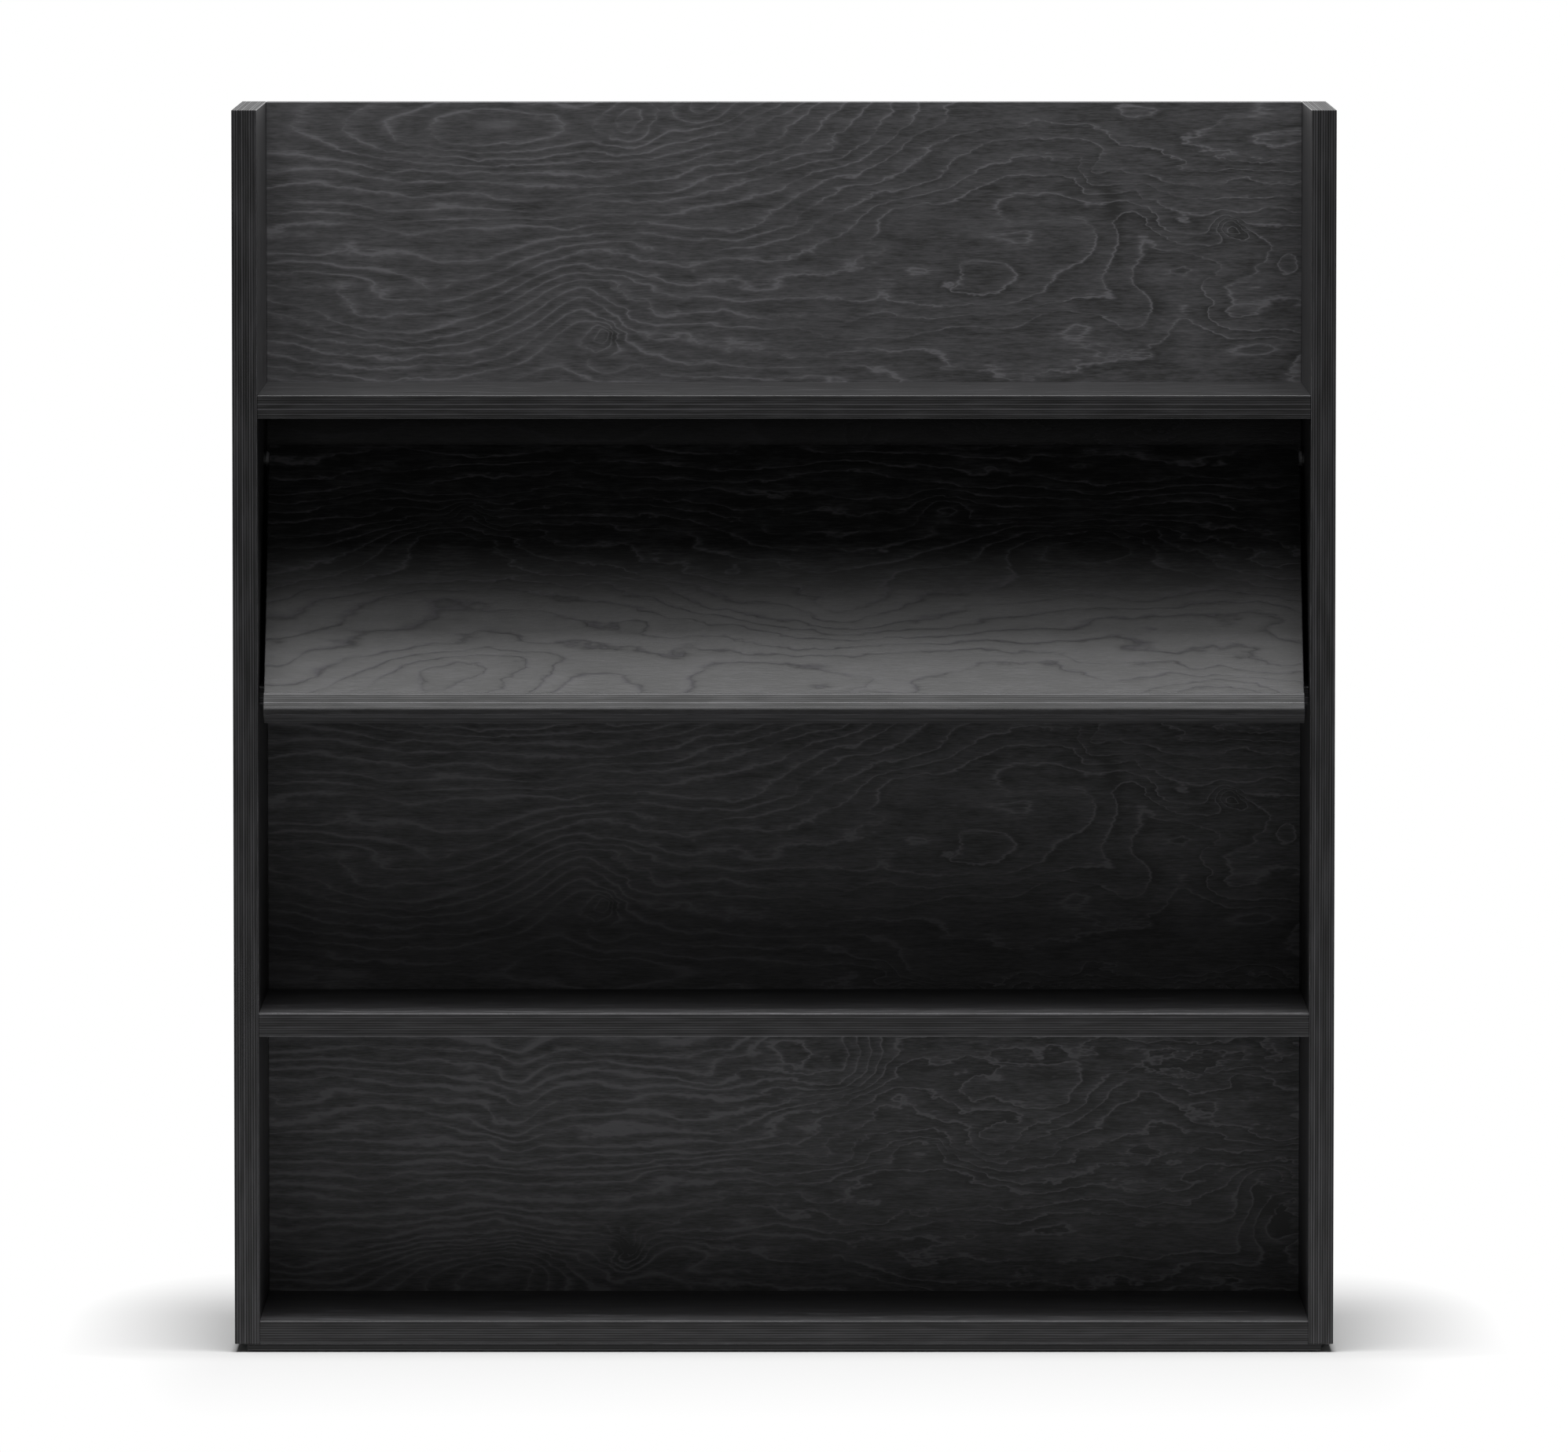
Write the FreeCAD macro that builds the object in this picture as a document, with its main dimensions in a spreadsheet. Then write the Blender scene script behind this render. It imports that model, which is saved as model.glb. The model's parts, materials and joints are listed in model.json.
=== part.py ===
"""Narrow plywood bookshelf with a lifting display flap, as a parametric document.

Millimetres. X runs across the front, Y from front to back, and Z up. The origin is on the floor,
in the middle of the width and of the depth, where the depth counts the flap's lip, which stands
a little in front of the carcass.
"""
import FreeCAD, Part
import math
import os
import Sketcher

document = FreeCAD.newDocument("NarrowBookshelf")
sheet = document.addObject("Spreadsheet::Sheet", "Sizes")
nodes = []


# How sizes are written

class Size:
    """A size that knows its number and the formula on the sheet's cells that gives it."""

    def __init__(self, number, formula):
        self.number = number
        self.formula = formula

    def __add__(self, other):
        other = as_size(other)
        return Size(self.number + other.number, f"({self.formula} + {other.formula})")

    def __sub__(self, other):
        other = as_size(other)
        return Size(self.number - other.number, f"({self.formula} - {other.formula})")

    def __mul__(self, other):
        other = as_size(other)
        return Size(self.number * other.number, f"({self.formula} * {other.formula})")

    def __truediv__(self, other):
        other = as_size(other)
        return Size(self.number / other.number, f"({self.formula} / {other.formula})")

    def __rsub__(self, other):
        return as_size(other) - self

    def __neg__(self):
        return 0 - self


def as_size(value):
    return value if isinstance(value, Size) else Size(value, repr(value))


def cosine(angle):
    return Size(math.cos(math.radians(angle.number)), f"cos({angle.formula})")


def sine(angle):
    return Size(math.sin(math.radians(angle.number)), f"sin({angle.formula})")


class DrivingSizes:
    """The driving dimensions by name; each has a row of the sheet, with an alias on its value."""

    def __init__(self, dimensions):
        for row, (alias, number) in enumerate(dimensions.items(), 1):
            sheet.set(f"A{row}", alias.replace("_", " "))
            sheet.set(f"B{row}", str(number))
            sheet.setAlias(f"B{row}", alias)
            setattr(self, alias, Size(number, f"Sizes.{alias}"))


# Driving dimensions, each with its own cell on the sheet

DIMENSIONS = {
    # Boards
    "overall_width": 990.0,
    "carcass_depth": 250.0,
    "side_thickness": 22.4,
    "shelf_thickness": 21.0,
    "display_thickness": 16.0,
    "back_thickness": 16.0,
    "edge_round": 0.8,
    # Clear heights of the compartments that hold books; the one with the flap follows from the flap
    "bottom_bay": 257.4,
    "middle_bay": 276.5,
    "top_bay": 255.9,
    # The plate under the bottom panel and the discs that it stands on
    "base_thickness": 6.0,
    "base_inset": 11.3,
    "base_setback": 1.0,
    "glide_height": 1.4,
    "glide_radius": 11.0,
    "glide_inset": 25.0,
    # The flap: a panel that leans back, and a lip along its lower front edge
    "flap_length": 288.0,
    "flap_thickness": 16.0,
    "flap_tilt": 36.0,
    "flap_overhang": 38.8,
    "flap_head_room": 32.3,
    "lip_height": 18.0,
    "lip_proud": 8.0,
    "lip_reach": 10.5,
    "bumper_radius": 5.0,
    "bumper_thickness": 1.0,
    "bumper_inset": 60.0,
    # The flap's pins, and the flanged sockets that they turn in
    "pivot_inset": 9.5,
    "pin_radius": 4.0,
    "pin_in_flap": 20.0,
    "pin_in_socket": 10.0,
    "collar_radius": 7.0,
    "collar_thickness": 2.6,
    "flange_radius": 8.0,
    "flange_thickness": 2.2,
    "socket_radius": 6.0,
    "socket_floor": 1.2,
    "end_play": 0.2,
    # Clearances
    "fit_gap": 0.1,
    "running_gap": 0.05,
    "hole_end_gap": 0.5,
    "overrun": 1.0,
    # Connectors at the shelf ends: where they are, dowels, bolts and cams
    "joint_inset": 37.0,
    "dowel_spacing": 32.0,
    "dowel_radius": 4.0,
    "dowel_in_side": 12.0,
    "dowel_in_board": 22.0,
    "dowel_bevel": 0.8,
    "cam_distance": 34.0,
    "cam_radius": 7.5,
    "cam_over_axis": 3.8,
    "cam_recess": 0.3,
    "cam_slot_length": 3.6,
    "cam_slot_width": 0.7,
    "cam_slot_depth": 2.0,
    "bolt_in_side": 11.0,
    "bolt_radius": 3.0,
    "bolt_flange_radius": 3.5,
    "bolt_flange_thickness": 1.2,
    "bolt_neck_radius": 1.6,
    "bolt_neck_length": 5.5,
    "bolt_head_length": 4.0,
    # Dowels that hold the back panel between the sides, and the lip on the flap
    "back_dowel_inset": 70.0,
    "lip_dowel_radius": 3.0,
    "lip_dowel_in_lip": 4.5,
    "lip_dowel_in_panel": 9.5,
    "lip_dowel_inset": 70.0,
    # Countersunk screws: in the back panel, and under the base plate
    "screw_recess": 0.2,
    "screw_tip": 3.0,
    "screw_slot_width": 0.5,
    "screw_slot_depth": 0.9,
    "screw_slot_length": 1.9,
    "back_screw_radius": 2.0,
    "back_screw_head": 4.0,
    "back_screw_length": 40.0,
    "back_screw_inset": 90.0,
    "base_screw_radius": 1.75,
    "base_screw_head": 3.5,
    "base_screw_length": 16.0,
    "base_screw_inset": 90.0,
    "base_screw_setback": 62.0,
}

size = DrivingSizes(DIMENSIONS)
document.recompute()

# How many of each stand in a row
back_screws_per_shelf = 4
base_screws_per_row = 4
back_dowels_per_side = 5
lip_dowel_count = 5
bumper_count = 3
glides_per_row = 3


# Places that follow from the sizes; heights of the shelves are above the feet of the sides

zero = as_size(0)
feet = size.glide_height + size.base_thickness
inner_width = size.overall_width - size.side_thickness * 2
half_inner = inner_width / 2
back_front = size.carcass_depth - size.back_thickness
front = (size.lip_reach - size.carcass_depth) / 2

flap_end_gap = size.flange_thickness + size.end_play + size.collar_thickness
half_flap = half_inner - flap_end_gap
half_flap_thickness = size.flap_thickness / 2
below_pivot = size.flap_length - size.pivot_inset
pivot_to_shelf_edge = below_pivot - size.flap_overhang
lean = sine(size.flap_tilt)
upright = cosine(size.flap_tilt)
pivot_over_display = pivot_to_shelf_edge * upright + half_flap_thickness * lean
flap_top_over_pivot = size.pivot_inset * upright + half_flap_thickness * lean
display_bay = pivot_over_display + flap_top_over_pivot + size.flap_head_room

# The lip's rounded lower front corner stands lip_reach in front of the carcass
rounding_loss = size.edge_round * (lean + upright - 1)
pivot_behind_front = (
    below_pivot * lean
    + (half_flap_thickness + size.lip_proud) * upright
    - rounding_loss
    - size.lip_reach
)

# The display shelf starts where its rounded front edge just clears the bumpers on the flap
leaning_line = pivot_behind_front - pivot_to_shelf_edge * lean + half_flap_thickness * upright
bumper_space = size.bumper_thickness + size.fit_gap + size.edge_round * (1 - lean)
display_setback = leaning_line - size.edge_round + bumper_space / upright

# A socket's flange lies on the side, its body in it, and its bore ends before the body does
socket_bore_depth = size.pin_in_socket + size.end_play + size.socket_floor
socket_depth = socket_bore_depth + size.socket_floor - size.flange_thickness


class Shelf:
    """A board between the sides: its underside above their feet, its thickness and its setback."""

    def __init__(self, label, underside, thickness, setback):
        self.label = label
        self.underside = underside
        self.thickness = thickness
        self.setback = setback
        self.depth = back_front - setback
        self.axis_height = thickness / 2
        self.top = underside + thickness
        self.bolt_places = [size.joint_inset, self.depth - size.joint_inset]
        self.dowel_places = [
            size.joint_inset + size.dowel_spacing,
            self.depth - size.joint_inset - size.dowel_spacing,
        ]


bottom_panel = Shelf("bottom_panel", zero, size.shelf_thickness, zero)
lower_shelf = Shelf("lower_shelf", bottom_panel.top + size.bottom_bay, size.shelf_thickness, zero)
display_shelf = Shelf(
    "display_shelf", lower_shelf.top + size.middle_bay, size.display_thickness, display_setback
)
top_shelf = Shelf("top_shelf", display_shelf.top + display_bay, size.shelf_thickness, zero)
shelves = [bottom_panel, lower_shelf, display_shelf, top_shelf]
side_height = top_shelf.top + size.top_bay
pivot_height = display_shelf.top + pivot_over_display


def spread(first, last, count):
    """Evenly spaced places from the first to the last."""
    return [first + (last - first) * (step / (count - 1)) for step in range(count)]


back_screw_places = spread(
    size.back_screw_inset - half_inner, half_inner - size.back_screw_inset, back_screws_per_shelf
)
base_screw_places = spread(
    size.base_screw_inset - half_inner, half_inner - size.base_screw_inset, base_screws_per_row
)
base_screw_rows = [size.base_screw_setback, size.carcass_depth - size.base_screw_setback]
back_dowel_heights = spread(
    size.back_dowel_inset, side_height - size.back_dowel_inset, back_dowels_per_side
)
lip_dowel_places = spread(
    size.lip_dowel_inset - half_flap, half_flap - size.lip_dowel_inset, lip_dowel_count
)
lip_dowel_height = size.lip_height / 2 - below_pivot


# How a piece is made

def bind(item, name, value):
    item.setExpression(name, as_size(value).formula)


def place(item, x, y, z):
    bind(item, "Placement.Base.x", x)
    bind(item, "Placement.Base.y", y)
    bind(item, "Placement.Base.z", z)


def place_on_flap(item, x):
    """Puts a piece of the flap on the pivot axis, leaning back by the flap's tilt."""
    item.Placement = FreeCAD.Placement(
        FreeCAD.Vector(), FreeCAD.Rotation(FreeCAD.Vector(-1, 0, 0), size.flap_tilt.number)
    )
    place(item, x, front + pivot_behind_front, feet + pivot_height)
    bind(item, "Placement.Rotation.Angle", size.flap_tilt)


def new_body(label):
    body = document.addObject("PartDesign::Body", label)
    body.Label = label
    return body


def new_node(label):
    body = new_body(label)
    nodes.append(body)
    return body


def origin_item(body, role):
    return [item for item in body.Origin.OriginFeatures if item.Role == role][0]


def new_sketch(body, plane, height=zero):
    """A sketch on one of the body's own planes, or that far along the plane's normal."""
    sketch = body.newObject("Sketcher::SketchObject", f"{body.Name}_sketch")
    sketch.AttachmentSupport = [(origin_item(body, plane), "")]
    sketch.MapMode = "FlatFace"
    bind(sketch, "AttachmentOffset.Base.z", height)
    return sketch


def pin_point(sketch, curve, point, x, y):
    """Ties a point of a sketched curve to its place."""
    for kind, axis, value in (("DistanceX", -2, x), ("DistanceY", -1, y)):
        if value.number == 0:
            sketch.addConstraint(Sketcher.Constraint("PointOnObject", curve, point, axis))
        else:
            tie = Sketcher.Constraint(kind, -1, 1, curve, point, value.number)
            bind(sketch, f"Constraints[{sketch.addConstraint(tie)}]", value)


def draw_outline(sketch, corners):
    """A closed outline of straight lines through the corners."""
    points = [FreeCAD.Vector(x.number, y.number, 0) for x, y in corners]
    following = points[1:] + points[:1]
    for start, end in zip(points, following):
        sketch.addGeometry(Part.LineSegment(start, end), False)
    for line in range(len(points)):
        joined = (line + 1) % len(points)
        sketch.addConstraint(Sketcher.Constraint("Coincident", line, 2, joined, 1))
    for line, (x, y) in enumerate(corners):
        pin_point(sketch, line, 1, x, y)


def draw_rectangle(sketch, left, right, low, high):
    draw_outline(sketch, [(left, low), (right, low), (right, high), (left, high)])


def draw_circle(sketch, x, y, radius):
    circle = Part.Circle(
        FreeCAD.Vector(x.number, y.number, 0), FreeCAD.Vector(0, 0, 1), radius.number
    )
    curve = sketch.addGeometry(circle, False)
    pin_point(sketch, curve, 3, x, y)
    tie = sketch.addConstraint(Sketcher.Constraint("Radius", curve, radius.number))
    bind(sketch, f"Constraints[{tie}]", radius)


def draw_cross(sketch, arm, half_width):
    """The outline of a cross recess: four arms about the origin."""
    corners = []
    for quarter in ((1, 1), (-1, 1), (-1, -1), (1, -1)):
        long_first = quarter[0] * quarter[1] > 0
        tips = [(arm, half_width), (half_width, half_width), (half_width, arm)]
        for x, y in tips if long_first else reversed(tips):
            corners.append((x * quarter[0], y * quarter[1]))
    draw_outline(sketch, corners)


def pad(body, sketch, length, backwards=False):
    feature = body.newObject("PartDesign::Pad", f"{body.Name}_pad")
    feature.Profile = sketch
    bind(feature, "Length", length)
    feature.Reversed = backwards
    document.recompute()
    return feature


def check_cut(body, feature, before):
    """A cut that points away from the solid takes nothing off, and that is an error."""
    document.recompute()
    if not feature.Shape.Volume < before:
        raise RuntimeError(f"{body.Label}: {feature.Name} cuts nothing")


def pocket(body, sketch, depth, backwards=False):
    before = body.Shape.Volume
    feature = body.newObject("PartDesign::Pocket", f"{body.Name}_pocket")
    feature.Profile = sketch
    bind(feature, "Length", depth)
    feature.Reversed = backwards
    check_cut(body, feature, before)
    return feature


def countersink(body, sketch, radius, head_radius):
    """Screw holes right through the board, with a cone for the head on the sketch's side."""
    before = body.Shape.Volume
    document.recompute()
    feature = body.newObject("PartDesign::Hole", f"{body.Name}_screw_holes")
    feature.Profile = sketch
    document.recompute()
    feature.Reversed = True
    feature.DepthType = "ThroughAll"
    feature.HoleCutType = "Countersink"
    feature.HoleCutCountersinkAngle = 90
    bind(feature, "Diameter", (radius + size.fit_gap) * 2)
    bind(feature, "HoleCutDiameter", (head_radius + size.screw_recess + size.fit_gap) * 2)
    check_cut(body, feature, before)


def mirror(body, feature, plane):
    before = body.Shape.Volume
    mirrored = body.newObject("PartDesign::Mirrored", f"{body.Name}_mirrored")
    mirrored.Originals = [feature]
    mirrored.MirrorPlane = (origin_item(body, plane), [""])
    body.Tip = mirrored
    check_cut(body, mirrored, before)


def ease_edges(body, feature, keep_sharp=None):
    """Rounds the edges of a board lightly, but not those that keep_sharp picks by their middle."""
    rounding = body.newObject("PartDesign::Fillet", f"{body.Name}_eased_edges")
    chosen = []
    for number, edge in enumerate(feature.Shape.Edges, 1):
        if keep_sharp is None or not keep_sharp(edge.CenterOfMass):
            chosen.append(f"Edge{number}")
    rounding.Base = (feature, chosen)
    bind(rounding, "Radius", size.edge_round)
    document.recompute()
    return rounding


def turn(body, plane, axis, corners):
    """A turned piece: the outline spun about one of its sketch's axes."""
    sketch = new_sketch(body, plane)
    draw_outline(sketch, corners)
    feature = body.newObject("PartDesign::Revolution", f"{body.Name}_turned")
    feature.Profile = sketch
    feature.ReferenceAxis = (sketch, [axis])
    feature.Angle = 360
    document.recompute()
    return feature


def copy_of(pattern, x, y, z, turned=None):
    """One more of a small part that comes several times, at its own place."""
    link = document.addObject("App::Link", f"{pattern.Name}_copy")
    link.LinkedObject = pattern
    link.Placement = FreeCAD.Placement(FreeCAD.Vector(), turned or FreeCAD.Rotation())
    place(link, x, y, z)
    return link


def group(label, copies):
    """A node of several alike parts, each a solid of its own."""
    compound = document.addObject("Part::Compound", label)
    compound.Label = label
    compound.Links = copies
    nodes.append(compound)
    return compound


def about(x, y, z, degrees):
    return FreeCAD.Rotation(FreeCAD.Vector(x, y, z), degrees)


# Patterns of the small parts, each made once about its own origin

def dowel_pattern(label, radius, before_joint, after_joint):
    """A bevelled wooden dowel along X, with the joint at x = 0."""
    body = new_body(label)
    turn(body, "XY_Plane", "H_Axis", [
        (-before_joint, zero),
        (-before_joint, radius - size.dowel_bevel),
        (size.dowel_bevel - before_joint, radius),
        (after_joint - size.dowel_bevel, radius),
        (after_joint, radius - size.dowel_bevel),
        (after_joint, zero),
    ])
    return body


def bolt_pattern():
    """A connecting bolt along X: its thread is in the side, its head in the cam."""
    body = new_body("bolt_pattern")
    head_end = size.cam_distance + size.bolt_head_length - size.bolt_radius / 2
    head_start = head_end - size.bolt_head_length
    neck_start = head_start - size.bolt_neck_length
    turn(body, "XY_Plane", "H_Axis", [
        (-size.bolt_in_side, zero),
        (-size.bolt_in_side, size.bolt_neck_radius),
        (size.bolt_radius - size.bolt_neck_radius - size.bolt_in_side, size.bolt_radius),
        (zero, size.bolt_radius),
        (zero, size.bolt_flange_radius),
        (size.bolt_flange_thickness, size.bolt_flange_radius),
        (size.bolt_flange_thickness, size.bolt_radius),
        (neck_start, size.bolt_radius),
        (neck_start, size.bolt_neck_radius),
        (head_start, size.bolt_neck_radius),
        (head_start, size.bolt_radius),
        (head_end, size.bolt_radius),
        (head_end, zero),
    ])
    return body


def cam_pattern(label, axis_height):
    """A cam, face down, for a bolt that comes in from -X at that height above the board's face."""
    body = new_body(label)
    bolt_height = axis_height - size.cam_recess
    disc = new_sketch(body, "XY_Plane")
    draw_circle(disc, zero, zero, size.cam_radius)
    pad(body, disc, bolt_height + size.cam_over_axis)
    passage = new_sketch(body, "YZ_Plane", size.bolt_head_length)
    draw_circle(passage, zero, bolt_height, size.bolt_flange_radius)
    pocket(body, passage, size.bolt_head_length + size.cam_radius + size.overrun)
    recess = new_sketch(body, "XY_Plane")
    draw_cross(recess, size.cam_slot_length, size.cam_slot_width)
    pocket(body, recess, size.cam_slot_depth, True)
    return body


def screw_pattern(label, radius, head_radius, length):
    """A countersunk screw along +Z, with its head's face at z = 0."""
    body = new_body(label)
    turn(body, "XZ_Plane", "V_Axis", [
        (zero, zero),
        (head_radius, zero),
        (radius, head_radius - radius),
        (radius, length - size.screw_tip),
        (zero, length),
    ])
    recess = new_sketch(body, "XY_Plane")
    draw_cross(recess, size.screw_slot_length, size.screw_slot_width)
    pocket(body, recess, size.screw_slot_depth, True)
    return body


def disc_pattern(label, radius, thickness):
    """A thin round pad along +Z with a slightly smaller free face at z = 0."""
    body = new_body(label)
    turn(body, "XZ_Plane", "V_Axis", [
        (zero, zero),
        (radius - thickness / 4, zero),
        (radius, thickness / 4),
        (radius, thickness),
        (zero, thickness),
    ])
    return body


# Carcass boards

def side_panel(label, side):
    """A side; side is -1 on the left and 1 on the right, and its inner face is the YZ plane."""
    body = new_node(label)
    outline = new_sketch(body, "YZ_Plane")
    draw_rectangle(outline, zero, size.carcass_depth, zero, side_height)
    ease_edges(body, pad(body, outline, size.side_thickness, side < 0))
    into_board = side > 0

    dowel_holes = new_sketch(body, "YZ_Plane")
    for shelf in shelves:
        for along in shelf.dowel_places:
            draw_circle(
                dowel_holes,
                shelf.setback + along,
                shelf.underside + shelf.axis_height,
                size.dowel_radius + size.fit_gap,
            )
    for height in back_dowel_heights:
        draw_circle(
            dowel_holes,
            back_front + size.back_thickness / 2,
            height,
            size.dowel_radius + size.fit_gap,
        )
    pocket(body, dowel_holes, size.dowel_in_side + size.hole_end_gap, into_board)

    bolt_holes = new_sketch(body, "YZ_Plane")
    for shelf in shelves:
        for along in shelf.bolt_places:
            draw_circle(
                bolt_holes,
                shelf.setback + along,
                shelf.underside + shelf.axis_height,
                size.bolt_radius + size.running_gap,
            )
    pocket(body, bolt_holes, size.bolt_in_side + size.hole_end_gap, into_board)

    socket_hole = new_sketch(body, "YZ_Plane")
    draw_circle(socket_hole, pivot_behind_front, pivot_height, size.socket_radius + size.running_gap)
    pocket(body, socket_hole, socket_depth + size.hole_end_gap, into_board)
    place(body, half_inner * side, front, feet)


def shelf_board(shelf):
    """A board between the sides; its origin is the middle of its lower front edge."""
    body = new_node(shelf.label)
    outline = new_sketch(body, "XY_Plane")
    draw_rectangle(outline, -half_inner, half_inner, zero, shelf.depth)
    ease_edges(body, pad(body, outline, shelf.thickness))

    dowel_holes = new_sketch(body, "YZ_Plane", half_inner)
    for along in shelf.dowel_places:
        draw_circle(dowel_holes, along, shelf.axis_height, size.dowel_radius + size.fit_gap)
    mirror(body, pocket(body, dowel_holes, size.dowel_in_board + size.hole_end_gap), "YZ_Plane")

    bolt_holes = new_sketch(body, "YZ_Plane", half_inner)
    for along in shelf.bolt_places:
        draw_circle(bolt_holes, along, shelf.axis_height, size.bolt_flange_radius + size.fit_gap)
    mirror(body, pocket(body, bolt_holes, size.cam_distance), "YZ_Plane")

    cam_seats = new_sketch(body, "XY_Plane")
    for along in shelf.bolt_places:
        draw_circle(cam_seats, half_inner - size.cam_distance, along, size.cam_radius + size.fit_gap)
    seat_depth = shelf.axis_height + size.cam_over_axis + size.fit_gap
    mirror(body, pocket(body, cam_seats, seat_depth, True), "YZ_Plane")

    pilot_holes = new_sketch(body, "XZ_Plane", -shelf.depth)
    for across in back_screw_places:
        draw_circle(pilot_holes, across, shelf.axis_height, size.back_screw_radius + size.running_gap)
    pilot_depth = size.back_screw_length + size.screw_recess - size.back_thickness + size.hole_end_gap
    pocket(body, pilot_holes, pilot_depth, True)
    place(body, zero, front + shelf.setback, feet + shelf.underside)
    return body


def drill_for_base_screws(body):
    """Pilot holes in the underside of the bottom panel, one over each hole of the base plate."""
    pilot_holes = new_sketch(body, "XY_Plane")
    for along in base_screw_rows:
        for across in base_screw_places:
            draw_circle(pilot_holes, across, along, size.base_screw_radius + size.running_gap)
    pilot_depth = size.base_screw_length + size.screw_recess - size.base_thickness + size.hole_end_gap
    pocket(body, pilot_holes, pilot_depth, True)


def back_board():
    """The back panel; its origin is the middle of its lower front edge."""
    body = new_node("back_panel")
    outline = new_sketch(body, "XZ_Plane")
    draw_rectangle(outline, -half_inner, half_inner, zero, side_height)
    ease_edges(body, pad(body, outline, size.back_thickness, True))

    dowel_holes = new_sketch(body, "YZ_Plane", half_inner)
    for height in back_dowel_heights:
        draw_circle(dowel_holes, size.back_thickness / 2, height, size.dowel_radius + size.fit_gap)
    mirror(body, pocket(body, dowel_holes, size.dowel_in_board + size.hole_end_gap), "YZ_Plane")

    screw_holes = new_sketch(body, "XZ_Plane", -size.back_thickness)
    for shelf in shelves:
        for across in back_screw_places:
            draw_circle(
                screw_holes, across, shelf.underside + shelf.axis_height, size.back_screw_radius
            )
    countersink(body, screw_holes, size.back_screw_radius, size.back_screw_head)
    place(body, zero, front + back_front, feet)
    return body


def base_board():
    """The base plate; its origin is the middle of the carcass's front, at its own underside."""
    body = new_node("base_plate")
    half_base = size.overall_width / 2 - size.base_inset
    outline = new_sketch(body, "XY_Plane")
    base_back = size.carcass_depth - size.base_setback
    draw_rectangle(outline, -half_base, half_base, size.base_setback, base_back)
    ease_edges(body, pad(body, outline, size.base_thickness))
    screw_holes = new_sketch(body, "XY_Plane")
    for along in base_screw_rows:
        for across in base_screw_places:
            draw_circle(screw_holes, across, along, size.base_screw_radius)
    countersink(body, screw_holes, size.base_screw_radius, size.base_screw_head)
    place(body, zero, front, size.glide_height)
    return body


side_panel("side_panel_left", -1)
side_panel("side_panel_right", 1)
back_board()
for shelf in shelves:
    board = shelf_board(shelf)
    if shelf is bottom_panel:
        drill_for_base_screws(board)
base_board()


# Connectors and screws of the carcass

half_turn = about(0, 0, 1, 180)
dowel = dowel_pattern("dowel_pattern", size.dowel_radius, size.dowel_in_side, size.dowel_in_board)
bolt = bolt_pattern()
shelf_cam = cam_pattern("shelf_cam_pattern", size.shelf_thickness / 2)
display_cam = cam_pattern("display_cam_pattern", size.display_thickness / 2)

shelf_dowels = []
cam_bolts = []
cam_housings = []
for shelf in shelves:
    joint_height = feet + shelf.underside + shelf.axis_height
    cam_height = feet + shelf.underside + size.cam_recess
    cam = display_cam if shelf is display_shelf else shelf_cam
    for side, turned in ((-1, None), (1, half_turn)):
        joint = half_inner * side
        cam_place = (half_inner - size.cam_distance) * side
        for along in shelf.dowel_places:
            y = front + shelf.setback + along
            shelf_dowels.append(copy_of(dowel, joint, y, joint_height, turned))
        for along in shelf.bolt_places:
            y = front + shelf.setback + along
            cam_bolts.append(copy_of(bolt, joint, y, joint_height, turned))
            cam_housings.append(copy_of(cam, cam_place, y, cam_height, turned))
group("shelf_dowels", shelf_dowels)
group("cam_bolts", cam_bolts)
group("cam_housings", cam_housings)

back_dowels = []
for side, turned in ((-1, None), (1, half_turn)):
    for height in back_dowel_heights:
        y = front + back_front + size.back_thickness / 2
        back_dowels.append(copy_of(dowel, half_inner * side, y, feet + height, turned))
group("back_dowels", back_dowels)

back_screw = screw_pattern(
    "back_screw_pattern", size.back_screw_radius, size.back_screw_head, size.back_screw_length
)
screws_forward = about(1, 0, 0, 90)
back_screws = []
for shelf in shelves:
    for across in back_screw_places:
        y = front + size.carcass_depth - size.screw_recess
        z = feet + shelf.underside + shelf.axis_height
        back_screws.append(copy_of(back_screw, across, y, z, screws_forward))
group("back_screws", back_screws)

base_screw = screw_pattern(
    "base_screw_pattern", size.base_screw_radius, size.base_screw_head, size.base_screw_length
)
base_screws = []
for along in base_screw_rows:
    for across in base_screw_places:
        base_screws.append(
            copy_of(base_screw, across, front + along, size.glide_height + size.screw_recess)
        )
group("base_screws", base_screws)

glide = disc_pattern("glide_pattern", size.glide_radius, size.glide_height)
glide_end = size.overall_width / 2 - size.base_inset - size.glide_inset
floor_glides = []
for y in (front + size.glide_inset, front + size.carcass_depth - size.glide_inset):
    for across in spread(-glide_end, glide_end, glides_per_row):
        floor_glides.append(copy_of(glide, across, y, zero))
group("floor_glides", floor_glides)


# Flap: its pieces share a frame on the pivot axis, with Z up the slope and -Y out of its face

def flap_board():
    body = new_node("flap_panel")
    outline = new_sketch(body, "YZ_Plane", -half_flap)
    draw_rectangle(
        outline, -half_flap_thickness, half_flap_thickness, -below_pivot, size.pivot_inset
    )

    def under_the_lip(middle):
        return middle.y < 0 and middle.z < -below_pivot.number + size.edge_round.number

    ease_edges(body, pad(body, outline, half_flap * 2), under_the_lip)
    pin_holes = new_sketch(body, "YZ_Plane", half_flap)
    draw_circle(pin_holes, zero, zero, size.pin_radius + size.running_gap)
    mirror(body, pocket(body, pin_holes, size.pin_in_flap + size.hole_end_gap), "YZ_Plane")
    dowel_holes = new_sketch(body, "XZ_Plane", half_flap_thickness)
    for across in lip_dowel_places:
        draw_circle(dowel_holes, across, lip_dowel_height, size.lip_dowel_radius + size.fit_gap)
    pocket(body, dowel_holes, size.lip_dowel_in_panel + size.hole_end_gap)
    place_on_flap(body, zero)


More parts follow.
